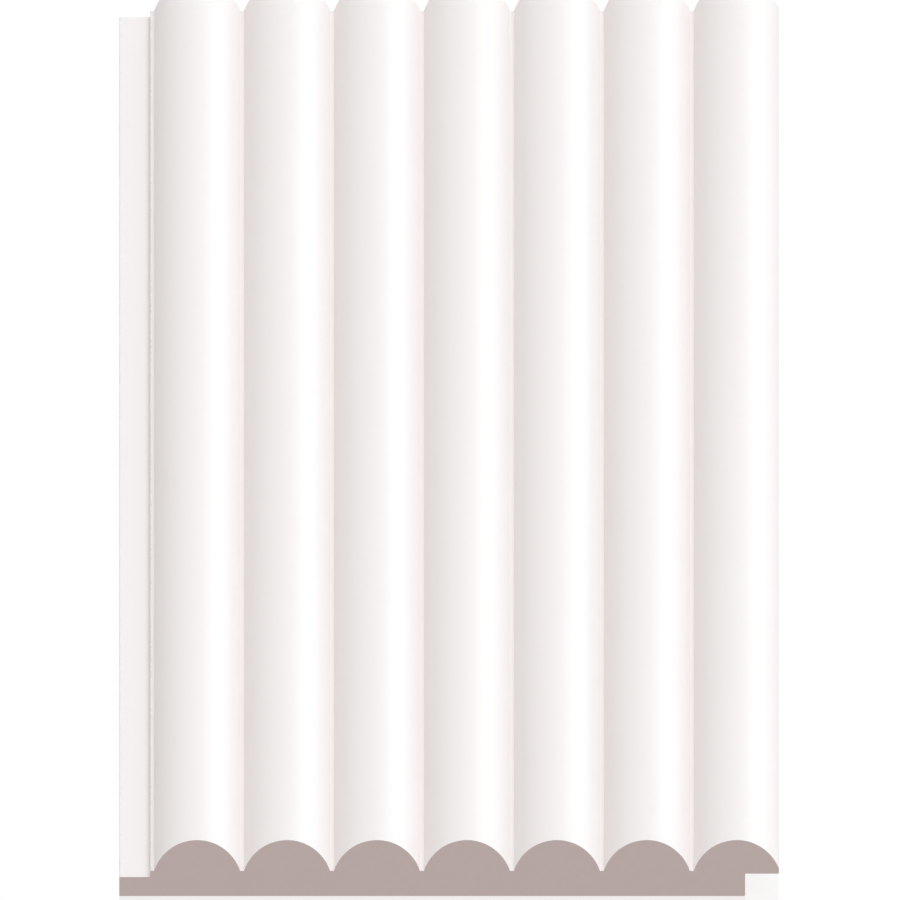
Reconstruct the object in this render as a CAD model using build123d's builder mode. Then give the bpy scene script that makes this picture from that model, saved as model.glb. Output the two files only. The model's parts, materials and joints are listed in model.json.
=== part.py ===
from build123d import *
import os

# Reeded wall panel: one moulded board, lying on its back with its reeds up.
# X runs across the reeds, Y along them and Z up from the back face. A tongue stands out
# along the left edge, and a lip over a rebate along the right one, so that the lip of
# each panel covers the tongue of the next and the row of reeds goes on unbroken.

# Driving dimensions, millimetres
panel_length = 2438.4     # eight foot stock, sawn square at both ends
panel_thickness = 15.875  # back face to reed crest, five eighths of an inch
reed_count = 7
reed_pitch = 25.4         # crest to crest, also across a joint
valley_flat = 1.1         # narrow flat left between two reeds
valley_web = 7.15         # board left under the valley flats
tongue_width = 8.75       # reach of the tongue beyond the step above it
tongue_thickness = 5.4
lip_reach = 9.55          # reach of the lip beyond the foot of the board
rebate_height = 6.35      # clear height under the lip
joint_gap = 0.23          # slit left between a lip and the step of the next panel
arris_radius = 0.25       # easing of the sharp edges

# Reed: the arc that rises from one valley flat and falls to the next
reed_chord = reed_pitch - valley_flat
reed_rise = panel_thickness - valley_web
reed_radius = (reed_chord**2 / 4 + reed_rise**2) / (2 * reed_rise)
reed_axis_height = panel_thickness - reed_radius

# Widths: the step and the lip tip are one cover width apart, less the joint gap
body_width = reed_count * reed_pitch - joint_gap
panel_width = tongue_width + body_width

# Places across the panel, which is centred on X = 0
tongue_edge = -panel_width / 2
step_edge = tongue_edge + tongue_width
lip_tip = panel_width / 2
foot_edge = lip_tip - lip_reach
body_middle = (step_edge + lip_tip) / 2
first_reed = step_edge + valley_flat + reed_chord / 2
reeds_middle = first_reed + (reed_count - 1) * reed_pitch / 2

with BuildPart() as reeded_panel:
    with BuildSketch(Plane.XZ) as section:
        # Web under the valleys, with a round rod lying in it for each reed
        with Locations((body_middle, valley_web / 2)):
            Rectangle(body_width, valley_web)
        with Locations((reeds_middle, reed_axis_height)):
            with GridLocations(reed_pitch, 1, reed_count, 1):
                Circle(reed_radius)

        # The blank keeps what lies above the back face and inside the lip tip
        with Locations((body_middle, panel_thickness / 2)):
            Rectangle(body_width, panel_thickness, mode=Mode.INTERSECT)

        # Rebate under the lip, and the tongue that fits the next panel's rebate
        with Locations((foot_edge, 0)):
            Rectangle(lip_reach, rebate_height, align=Align.MIN, mode=Mode.SUBTRACT)
        with Locations((tongue_edge, 0)):
            Rectangle(tongue_width, tongue_thickness, align=Align.MIN)

        # Sharp outer edges are eased, and the inner corners stay as the cutter leaves them
        eased_corners = [
            (tongue_edge, 0),
            (tongue_edge, tongue_thickness),
            (step_edge, valley_web),
            (lip_tip, rebate_height),
            (foot_edge, 0),
        ]
        fillet(
            [section.vertices().sort_by_distance(corner)[0] for corner in eased_corners],
            radius=arris_radius,
        )
    extrude(amount=panel_length / 2, both=True)

reeded_panel.part.label = "reeded_panel"

os.makedirs("parts", exist_ok=True)
export_step(reeded_panel.part, "parts/reeded_panel.step")
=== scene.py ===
# %% [markdown]
# # A reeded wall panel
# A long board of fibreboard, moulded with half-round reeds along its face and sprayed with
# white primer. A tongue stands out along its left edge, and a lip over a rebate along its
# right one, so that panels lap into a wall of even reeds. The CAD model holds its sizes, and
# this lesson gives it a fine mesh, its finishes, a floor, light and a camera.

# %% Load the frame
import json
import math

import bpy
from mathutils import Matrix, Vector
from mathutils.kdtree import KDTree


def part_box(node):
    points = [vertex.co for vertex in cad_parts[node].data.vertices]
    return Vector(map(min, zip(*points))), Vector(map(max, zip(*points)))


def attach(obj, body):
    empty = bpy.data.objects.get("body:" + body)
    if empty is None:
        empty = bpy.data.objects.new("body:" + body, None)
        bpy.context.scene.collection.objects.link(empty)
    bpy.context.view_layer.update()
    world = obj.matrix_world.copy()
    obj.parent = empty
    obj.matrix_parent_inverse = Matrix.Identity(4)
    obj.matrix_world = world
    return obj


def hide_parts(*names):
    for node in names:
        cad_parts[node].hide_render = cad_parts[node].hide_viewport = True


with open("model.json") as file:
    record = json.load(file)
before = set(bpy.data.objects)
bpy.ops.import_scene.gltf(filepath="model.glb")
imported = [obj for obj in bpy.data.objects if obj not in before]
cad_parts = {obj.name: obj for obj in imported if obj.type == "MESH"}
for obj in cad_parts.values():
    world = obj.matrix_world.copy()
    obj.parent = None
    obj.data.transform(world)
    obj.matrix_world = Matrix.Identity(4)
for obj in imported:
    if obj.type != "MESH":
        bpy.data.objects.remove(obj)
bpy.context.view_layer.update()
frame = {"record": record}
low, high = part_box("reeded_panel")

# %% [markdown]
# ## The sizes of the moulding
# Every machined face of the board comes from a few sizes. The tongue and the lip are mounts
# in the record, so their sizes are read from there and from the board's box. The reeds' own
# sizes are written once here. Each reed is a circle that rises out of the board between two
# narrow valley flats, so its radius follows from its width and its height.

# %% Sizes
MM = 0.001
mounts = {mount["name"]: Vector(mount["pos_m"]) for mount in frame["record"]["mounts"]}

panel_length = high.y - low.y
panel_width = high.x - low.x
tongue_width = 2 * (mounts["tongue_face"].x - low.x)
tongue_thickness = mounts["tongue_face"].z
lip_reach = 2 * (high.x - mounts["lip_underside"].x)
rebate_height = mounts["lip_underside"].z

panel_thickness = 15.875 * MM
reed_count = 7
reed_pitch = 25.4 * MM
valley_flat = 1.1 * MM
valley_web = 7.15 * MM
arris_radius = 0.25 * MM

reed_half_width = (reed_pitch - valley_flat) / 2
reed_rise = panel_thickness - valley_web
reed_radius = (reed_half_width**2 + reed_rise**2) / (2 * reed_rise)
reed_axis_height = panel_thickness - reed_radius
step_edge = low.x + tongue_width
foot_edge = high.x - lip_reach
print(f"reed radius {reed_radius / MM:.2f} mm, tongue {tongue_width / MM:.2f} mm wide")

# %% [markdown]
# ## The camera
# In the photograph the reeds keep their width from the near end to the far one, as only a
# parallel view shows them, so the camera is orthographic. The pitch of the reeds in pixels
# gives the scale. The board is far longer than the picture shows it, so the camera looks
# along it from barely six degrees above, and that angle follows from how high the tongue's
# far end stands above its near one.

# %% Camera
photo_width_px, photo_height_px = 899, 900
reed_pitch_px = 89.943
tongue_left_px = 119.2
tongue_near_px, tongue_far_px = 877.0, 17.1
camera_distance = 2.5 * panel_length

pixel = reed_pitch / reed_pitch_px
elevation = math.asin((tongue_near_px - tongue_far_px) * pixel / panel_length)
look = Vector((0, math.cos(elevation), -math.sin(elevation)))
right = Vector((1, 0, 0))
up = right.cross(look)

tongue_corner = Vector((low.x, low.y, tongue_thickness))
picture_middle = (
    tongue_corner
    + right * (photo_width_px / 2 - tongue_left_px) * pixel
    + up * (tongue_near_px - photo_height_px / 2) * pixel
)
over_board = picture_middle - picture_middle.dot(look) * look
bpy.ops.object.select_all(action="DESELECT")
bpy.ops.object.camera_add(
    location=over_board - look * camera_distance,
    rotation=(math.pi / 2 - elevation, 0, 0),
)
camera = bpy.context.object
camera.name = "camera"
camera.data.type = "ORTHO"
camera.data.ortho_scale = photo_height_px * pixel
camera.data.clip_end = 10 * camera_distance
bpy.context.scene.camera = camera
print(f"camera {math.degrees(elevation):.2f} degrees up, {pixel / MM:.4f} mm to a pixel")

# %% [markdown]
# ## Drawing the section
# A moulder drives the board past a spinning cutter ground to the section, so the section is
# drawn first and then pulled out along the board. It could be cut from a cube with booleans,
# but drawing it as with a pen keeps every edge where it belongs. The pen is one selected
# vertex: extruding it draws a straight edge, and spinning it round a reed's axis draws the
# reed's arc.

# %% Pen
near_end = low.y
reed_steps = 48


def pen_down(x, z):
    """Start the mesh as one selected vertex at the near end of the board."""
    bpy.ops.object.select_all(action="DESELECT")
    bpy.ops.mesh.primitive_plane_add(
        size=valley_flat, location=(x, near_end, z), calc_uvs=False
    )
    bpy.ops.object.transform_apply(location=True)
    bpy.ops.object.mode_set(mode="EDIT")
    bpy.ops.mesh.merge(type="CENTER")


def stroke(across=0, upward=0):
    """Draw a straight edge and move the pen to its far end."""
    bpy.ops.mesh.extrude_region_move(TRANSFORM_OT_translate={"value": (across, 0, upward)})


def arc(axis_x, turn):
    """Draw an arc from left to right over a reed's axis and move the pen to its far end."""
    bpy.ops.mesh.spin(
        steps=reed_steps,
        angle=turn,
        center=(axis_x, near_end, reed_axis_height),
        axis=(0, -1, 0),
    )


print(f"the pen turns over a reed in {reed_steps} steps")

# %% Outline
flank_angle = math.asin(reed_half_width / reed_radius)
last_axis = step_edge + valley_flat + reed_half_width + (reed_count - 1) * reed_pitch
lip_angle = math.asin((high.x - last_axis) / reed_radius)
lip_top = reed_axis_height + reed_radius * math.cos(lip_angle)

pen_down(low.x, low.z)
stroke(upward=tongue_thickness)
stroke(across=tongue_width)
stroke(upward=valley_web - tongue_thickness)
for reeds_left in reversed(range(reed_count)):
    fall_angle = flank_angle if reeds_left else lip_angle
    stroke(across=valley_flat)
    arc(last_axis - reeds_left * reed_pitch, flank_angle + fall_angle)
stroke(upward=rebate_height - lip_top)
stroke(across=-lip_reach)
stroke(upward=-rebate_height)

panel = bpy.context.object
panel.name = panel.data.name = "reeded_board"
bpy.ops.mesh.select_all(action="SELECT")
bpy.ops.mesh.edge_face_add()
print(f"lip tip {(lip_top - rebate_height) / MM:.2f} mm high")

# %% [markdown]
# ## Pulling it out along the board
# Extruding the filled section gives the board its length. It is pulled out in several bays,
# so that no face is thousands of times longer than it is wide.

# %% Length
bay_count = 24
bay_move = (0, panel_length / bay_count, 0)
for bay in range(bay_count):
    bpy.ops.mesh.extrude_region_move(TRANSFORM_OT_translate={"value": bay_move})
bpy.ops.mesh.select_all(action="SELECT")
bpy.ops.mesh.normals_make_consistent(inside=False)
bpy.ops.object.mode_set(mode="OBJECT")
print("board pulled out to", tuple(round(side, 4) for side in panel.dimensions))

# %% [markdown]
# ## Choosing edges and faces
# Most operators act on what is selected. By hand it would be clicked, and a script picks it
# with a test on each edge or face. A mesh takes such a choice in object mode, and the
# operators use it in edit mode, so one helper goes there and back.

# %% Selection


def select_only(kind, parts, wanted):
    """Select in edit mode just those edges or faces of the panel that pass a test."""
    bpy.ops.object.mode_set(mode="EDIT")
    bpy.ops.mesh.select_mode(type=kind)
    bpy.ops.mesh.select_all(action="DESELECT")
    bpy.ops.object.mode_set(mode="OBJECT")
    chosen = [part.index for part in parts if wanted(part)]
    for index in chosen:
        parts[index].select = True
    bpy.ops.object.mode_set(mode="EDIT")
    print(len(chosen), "chosen of", len(parts))


# %% [markdown]
# ## Easing the arrises
# A machined edge is never a perfect knife: handling and a light sanding leave a small round
# on it, which catches a line of light. The five sharp edges that run along the board are
# chosen by their place in the section, and the bevel operator rounds them to the radius that
# the CAD model has.

# %% Arrises
same_place = 0.01 * MM
arris_steps = 4
arris_places = [
    (low.x, low.z),
    (low.x, tongue_thickness),
    (step_edge, valley_web),
    (high.x, rebate_height),
    (foot_edge, low.z),
]


def at_place(vertex, x, z):
    """Say whether a vertex lies on the line along the board at this place of the section."""
    return math.hypot(vertex.co.x - x, vertex.co.z - z) < same_place


def is_arris(edge):
    """Say whether an edge runs along one of the sharp outer corners."""
    ends = [panel.data.vertices[index] for index in edge.vertices]
    return any(all(at_place(end, *place) for end in ends) for place in arris_places)


select_only("EDGE", panel.data.edges, is_arris)
bpy.ops.mesh.bevel(offset=arris_radius, segments=arris_steps, affect="EDGES")
bpy.ops.object.mode_set(mode="OBJECT")
print(f"{len(arris_places)} arrises eased to {arris_radius / MM:.2f} mm")

# %% [markdown]
# ## Shader maths
# A finish is worked out from numbers that vary over the surface. Each Math node is one
# operator, so a small class wraps a node's output and adds the node when two values meet in
# a Python expression.

# %% Values


class Value:
    """A number that varies over a surface, as the output of a node."""

    def __init__(self, shader, socket):
        self.shader = shader
        self.socket = socket

    def math(self, operation, first, second):
        """Add a Math node that joins two values."""
        return self.shader.node("Math", {"operation": operation}, {0: first, 1: second})

    def __add__(self, other):
        return self.math("ADD", self, other)

    def __sub__(self, other):
        return self.math("SUBTRACT", self, other)

    def __rsub__(self, other):
        return self.math("SUBTRACT", other, self)

    def __mul__(self, other):
        return self.math("MULTIPLY", self, other)

    __radd__ = __add__
    __rmul__ = __mul__


# %% [markdown]
# ## A shader and its nodes
# Every node that isn't maths comes from one method, which sets the node up first and then
# fills its sockets. On top of it sit the few steps that the finishes and the sky share: the
# place on the board, a random grain of a given size, a soft ramp, a mix of two colours, and
# the surface. The grain reads Object coordinates, so its sizes are real ones and it runs
# through the board.

# %% Shaders


class Shader:
    """The nodes of a material or of the sky, and the steps that build them."""

    def __init__(self, owner):
        owner.use_nodes = True
        self.owner = owner
        self.tree = owner.node_tree
        self.tree.nodes.clear()

    def node(self, kind, settings, sockets, output=0):
        """Add a node, set it up, fill its sockets with values or links and give one output."""
        added = self.tree.nodes.new("ShaderNode" + kind)
        for name, setting in settings.items():
            setattr(added, name, setting)
        for name, value in sockets.items():
            if isinstance(value, Value):
                self.tree.links.new(value.socket, added.inputs[name])
            else:
                added.inputs[name].default_value = value
        return Value(self, added.outputs[output]) if added.outputs else added

    def place(self, axis):
        """How far along an axis a point lies: X across the board, Y along it, Z up."""
        point = self.node("TexCoord", {}, {}, "Object")
        return self.node("SeparateXYZ", {}, {"Vector": point}, axis)

    def grain(self, across, along, upward, detail=2.0, lean=0.0, shift=0.0):
        """A random grain from 0 to 1 with these sizes in millimetres, leaning to the right."""
        point = self.node("TexCoord", {}, {}, "Object")
        sockets = {
            "Vector": point,
            "Location": (shift, shift, shift),
            "Rotation": (0, lean, 0),
            "Scale": (across * MM, along * MM, upward * MM),
        }
        mapped = self.node("Mapping", {"vector_type": "TEXTURE"}, sockets)
        return self.node("TexNoise", {}, {"Vector": mapped, "Scale": 1.0, "Detail": detail})

    def ramp(self, value, start, end):
        """Stretch a value softly so that start becomes 0 and end becomes 1."""
        sockets = {"Value": value, "From Min": start, "From Max": end}
        return self.node("MapRange", {"interpolation_type": "SMOOTHSTEP"}, sockets)

    def blend(self, amount, first, second):
        """Mix two colours."""
        return self.node("Mix", {"data_type": "RGBA"}, {0: amount, 6: first, 7: second}, 2)

    def surface(self, constants, colour, roughness, height, depth):
        """Feed a surface with its colour, its roughness and a height from 0 to 1, this deep."""
        normal = self.node("Bump", {}, {"Height": height, "Distance": depth, "Strength": 1.0})
        varying = {"Base Color": colour, "Roughness": roughness, "Normal": normal}
        principled = self.node("BsdfPrincipled", {}, {**constants, **varying})
        self.node("OutputMaterial", {}, {"Surface": principled})
        print(len(self.tree.nodes), "nodes in", self.owner.name)


# %% [markdown]
# ## White primer
# The primer is sprayed on and barely sanded, so it has a fine stipple, a broader orange peel
# and faint streaks along the board, the way it runs through the machine. Down the flanks and
# in the valleys the cutter opens the soft middle of the fibreboard, which drinks more primer
# and stays a little rougher. Below the crests the colour is also a little deeper: that is
# painted shade. On the arrises the film pulls thin, and here and there the board shows
# through. All of it is faint, because the board should look white.

# %% Primer
primer_light = (0.92, 0.878, 0.867, 1)
primer_deep = (0.901, 0.857, 0.845, 1)
board_tint = (0.66, 0.58, 0.55, 1)
skin_height = 11.0 * MM
crest_height = 14.5 * MM
thin_reach = 0.7 * MM
wear = 0.3
stipple_depth = 0.012 * MM

primer = Shader(bpy.data.materials.new("white_primer"))
across = primer.place("X")
upward = primer.place("Z")
stipple = primer.grain(across=0.6, along=0.6, upward=0.6)
peel = primer.grain(across=3, along=3, upward=3, shift=0.3)
streaks = primer.grain(across=0.8, along=250, upward=0.8, shift=0.7)
clouds = primer.grain(across=60, along=180, upward=60, detail=3.0)
specks = primer.grain(across=1.5, along=5, upward=1.5, detail=4.0, shift=0.5)
chips = primer.ramp(specks, start=0.5, end=0.62)
# A ramp by height, 0 at the crests and 1 lower down: the soft core in roughness and stipple,
# painted shade in the colour
soft_core_and_shade = primer.ramp(upward, start=crest_height, end=skin_height)

thin = 0.0
for arris_x, arris_z in arris_places:
    from_x, from_z = across - arris_x, upward - arris_z
    thin = thin + primer.ramp(from_x * from_x + from_z * from_z, start=thin_reach**2, end=0)

# The part of the tone that deepens below the crests is painted shade
tone = 0.4 * clouds + 0.4 * streaks + 0.2 * (1 - soft_core_and_shade)
film = primer.blend(tone, primer_deep, primer_light)
primer.surface(
    {"Specular IOR Level": 0.25},
    primer.blend(wear * thin * chips, film, board_tint),
    0.58 + 0.1 * peel + 0.06 * soft_core_and_shade,
    (0.5 + 0.2 * soft_core_and_shade) * stipple + 0.3 * peel + 0.1 * streaks,
    stipple_depth,
)

# %% [markdown]
# ## Sawn fibreboard
# The ends are sawn square after the priming, so they show the bare board: a felt of pressed
# wood fibres that lie flat, in short thin flecks, denser and darker towards the two faces. A
# saw leaves slanting marks across it. The flecks could be painted on, but a noise that is
# squeezed flat gives them at their real size, and a second one leaning over gives the marks.

# %% Sawn ends
fibre_light = (0.525, 0.4285, 0.4077, 1)
fibre_dark = (0.424, 0.346, 0.329, 1)
saw_lean = math.radians(38)
press_skin = 1.5 * MM
saw_depth = 0.05 * MM

sawn = Shader(bpy.data.materials.new("sawn_fibreboard"))
upward = sawn.place("Z")
flecks = sawn.grain(across=1.3, along=1.3, upward=0.14, detail=3.0)
fuzz = sawn.grain(across=0.3, along=0.3, upward=0.2, shift=0.7)
mottle = sawn.grain(across=10, along=10, upward=3, shift=0.3)
saw_marks = sawn.grain(across=0.45, along=0.45, upward=14, lean=saw_lean, shift=0.5)
back_skin = sawn.ramp(upward, start=press_skin, end=0)
crest_skin = sawn.ramp(upward, start=panel_thickness - press_skin, end=panel_thickness)

weave = 0.4 * flecks + 0.25 * fuzz + 0.15 * mottle + 0.2 * saw_marks
sawn.surface(
    {"Specular IOR Level": 0.2},
    sawn.blend(weave - 0.06 * (back_skin + crest_skin), fibre_dark, fibre_light),
    0.85 + 0.1 * fuzz,
    0.4 * flecks + 0.3 * fuzz + 0.3 * saw_marks,
    saw_depth,
)

# %% [markdown]
# ## The sanded back
# The back is glued to the wall and stays bare. A belt sander brings the board to thickness
# and leaves fine scratches along it, and some of the primer's spray drifts round the two long
# edges as a white mist. The mist is a ramp from each edge, broken up by a grain.

# %% Back
mist_reach = 9 * MM
scratch_depth = 0.02 * MM

back = Shader(bpy.data.materials.new("sanded_back"))
across = back.place("X")
pressed = back.grain(across=1.0, along=1.6, upward=1.0, detail=4.0)
scratches = back.grain(across=0.25, along=40, upward=0.25, shift=0.7)
drift = back.grain(across=5, along=14, upward=5, detail=4.0, shift=0.3)
from_tongue = back.ramp(across, start=low.x + mist_reach, end=low.x)
from_foot = back.ramp(across, start=foot_edge - mist_reach, end=foot_edge)
mist = (from_tongue + from_foot) * (0.2 + drift)

bare = back.blend(0.65 * pressed + 0.35 * scratches, fibre_dark, fibre_light)
back.surface(
    {"Specular IOR Level": 0.25},
    back.blend(0.8 * mist, bare, primer_light),
    0.68 + 0.15 * pressed,
    0.5 * pressed + 0.5 * scratches,
    scratch_depth,
)

# %% [markdown]
# ## Each finish on its faces
# All faces start with the first material, the primer. The ends and the back are picked out by
# their normals and get theirs through the slot that is active. The end is one big face with
# hundreds of corners, so bisect first cuts the reeds off it along the level of the valleys.

# %% Faces
upright = 0.99


def is_end(face):
    """Say whether a face is part of one of the two sawn ends."""
    return abs(face.normal.y) > upright


def is_back(face):
    """Say whether a face lies in the plane of the back."""
    return face.normal.z < -upright and abs(face.center.z - low.z) < same_place


for shader in (primer, sawn, back):
    panel.data.materials.append(shader.owner)

select_only("FACE", panel.data.polygons, is_end)
bpy.ops.mesh.bisect(plane_co=(0, 0, valley_web), plane_no=(0, 0, 1), threshold=same_place)
for slot, belongs in ((1, is_end), (2, is_back)):
    select_only("FACE", panel.data.polygons, belongs)
    panel.active_material_index = slot
    bpy.ops.object.material_slot_assign()
    print("they get", panel.material_slots[slot].name)
bpy.ops.object.mode_set(mode="OBJECT")

# %% [markdown]
# ## Smooth reeds, crisp corners
# A reed is a fan of narrow flats. Smoothing by angle blends those that meet at a gentle angle
# and leaves the real corners sharp. The weighted normals then keep the wide flat faces flat
# right up to their rounded arrises.

# %% Smooth shading
bpy.ops.object.select_all(action="DESELECT")
panel.select_set(True)
bpy.context.view_layer.objects.active = panel
bpy.ops.object.shade_smooth_by_angle(angle=math.radians(30))
bpy.ops.object.modifier_add(type="WEIGHTED_NORMAL")
panel.modifiers[-1].keep_sharp = True
bpy.ops.object.modifier_apply(modifier=panel.modifiers[-1].name)
print(len(panel.data.polygons), "faces")

# %% [markdown]
# ## Rolling the board out flat
# To bake the finishes into an image, the mesh needs a flat map of its faces. An automatic
# unwrap would squeeze the two small ends to a few pixels. So the long faces are rolled out
# like the label of a tin, by their distance round the section, and each end gets a row of
# its own above them. The walk round the section starts where the back meets the tongue, and
# each face of the near end's rim names the next corner, because all faces turn the same way.

# %% Walk round the section
mesh = panel.data


def near_steps(face):
    """The sides of a face that lie in the plane of the near end, as pairs of vertices."""
    corners = list(face.vertices)
    for here, there in zip(corners, corners[1:] + corners[:1]):
        if max(mesh.vertices[here].co.y, mesh.vertices[there].co.y) < near_end + same_place:
            yield here, there


def on_section(point):
    """A point's place in the section, wherever along the board it is."""
    return Vector((point.x, 0, point.z))


following = dict(step for face in mesh.polygons if not is_end(face) for step in near_steps(face))
first_place = Vector((low.x + arris_radius, 0, low.z))
first = min(following, key=lambda index: (on_section(mesh.vertices[index].co) - first_place).length)

walked = [0.0]
rim = KDTree(len(following))
here = first
while len(walked) <= len(following):
    there = following[here]
    rim.insert(on_section(mesh.vertices[here].co), len(walked) - 1)
    walked.append(walked[-1] + (mesh.vertices[there].co - mesh.vertices[here].co).length)
    here = there
rim.balance()
print(f"{walked[-1] / MM:.1f} mm round the section, back at the start: {here == first}")

# %% Flat map
board_rows = 0.86
end_rows = 0.055
row_gap = 0.012

flat_map = mesh.uv_layers.new(name="OFBake")
for face in mesh.polygons:
    points = [mesh.vertices[index].co for index in face.vertices]
    if is_end(face):
        is_far = face.center.y > 0
        row = board_rows + row_gap + is_far * (end_rows + row_gap)
        side = -1 if is_far else 1
        across_map = [0.5 + side * point.x / panel_width for point in points]
        up_map = [row + end_rows * point.z / panel_thickness for point in points]
    else:
        around = [walked[rim.find(on_section(point))[1]] for point in points]
        # The face that closes the round ends at the full distance and not at 0
        if max(around) - min(around) > walked[-1] / 2:
            around = [distance or walked[-1] for distance in around]
        across_map = [distance / walked[-1] for distance in around]
        up_map = [board_rows * (point.y - near_end) / panel_length for point in points]
    for corner, place in zip(face.loop_indices, zip(across_map, up_map)):
        flat_map.uv[corner].vector = place
print(len(flat_map.uv), "corners laid out")

# %% [markdown]
# ## The floor
# The board lies on its back on a plain pale floor, big enough to fill every view. The floor
# has a faint gloss: from low down it mirrors the bright horizon and looks white, and just
# below the sawn end it mirrors that as a darker strip. It glows a little, so that it stays
# pale right up to the board.

# %% Floor
floor_size = 20 * panel_length
bpy.ops.object.select_all(action="DESELECT")
bpy.ops.mesh.primitive_plane_add(size=floor_size, location=(0, 0, low.z))
floor = bpy.context.object
floor.name = "floor"

sheet = Shader(bpy.data.materials.new("pale_sheet"))
sheet_look = {
    "Base Color": (0.06, 0.06, 0.06, 1),
    "Roughness": 0.12,
    "IOR": 1.09,
    "Emission Color": (1, 1, 1, 1),
    "Emission Strength": 0.68,
}
sheet_surface = sheet.node("BsdfPrincipled", {}, sheet_look)
sheet.node("OutputMaterial", {}, {"Surface": sheet_surface})
floor.data.materials.append(sheet.owner)
print(f"floor {floor_size:.0f} m wide")

# %% [markdown]
# ## The light
# An even, slightly warm sky fills the valleys, and it is brighter towards the horizon, as
# inside a tent of white cloth. A broad lamp stands over the board and leans to the right and
# to the front, so each reed is brighter on its right side than on its left, and the sawn end
# is lit too. The thin white line along each reed is a gloss: matt paint shines when it is
# seen at a low angle. A mirror lying on a reed's right shoulder would send the camera's look
# on towards the horizon behind the board, so a faint lamp stands just there. Turning the look
# round with reflect gives its place.

# %% Sky
sky_colour = (1.0, 0.985, 0.965, 1)
sky_strength = 0.555
horizon_glow = 0.44
glow_height = math.sin(math.radians(25))

sky = Shader(bpy.data.worlds.new("sky"))
glow = sky.ramp(sky.place("Z"), start=glow_height, end=0)
sky_look = {"Color": sky_colour, "Strength": sky_strength + horizon_glow * glow}
background = sky.node("Background", {}, sky_look)
sky.node("OutputWorld", {}, {"Surface": background})
bpy.context.scene.world = sky.owner
bpy.context.scene.view_settings.view_transform = "Standard"
print(f"sky {sky_strength} overhead and {sky_strength + horizon_glow} at the horizon")

# %% Lamps
lamp_to_right = math.radians(22)
lamp_to_front = math.radians(30)
lamp_strength = 1.85
lamp_width = math.radians(50)
lamp_colour = (0.905, 0.95, 0.985)

shoulder_lean = math.radians(27)
gloss_strength = 0.145
gloss_width = math.radians(2)
gloss_colour = (0.88, 0.97, 1)


def leaning(to_right, to_front=0):
    """The direction that leans this far from upright, to the right and to the front."""
    return Vector((math.tan(to_right), -math.tan(to_front), 1)).normalized()


def add_lamp(name, towards, strength, width, colour):
    """Add a lamp so far off that its light is parallel, this wide an angle in the sky."""
    bpy.ops.object.light_add(type="SUN", rotation=towards.to_track_quat("Z", "Y").to_euler())
    lamp = bpy.context.object
    lamp.name = name
    lamp.data.energy = strength
    lamp.data.angle = width
    lamp.data.color = colour
    print(name, "stands", tuple(round(part, 3) for part in towards))


over_right = leaning(lamp_to_right, lamp_to_front)
behind_board = look.reflect(leaning(shoulder_lean))
add_lamp("broad_lamp", over_right, lamp_strength, lamp_width, lamp_colour)
add_lamp("gloss_lamp", behind_board, gloss_strength, gloss_width, gloss_colour)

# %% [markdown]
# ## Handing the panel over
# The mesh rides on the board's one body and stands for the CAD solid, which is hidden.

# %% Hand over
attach(panel, "root")
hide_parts("reeded_panel")
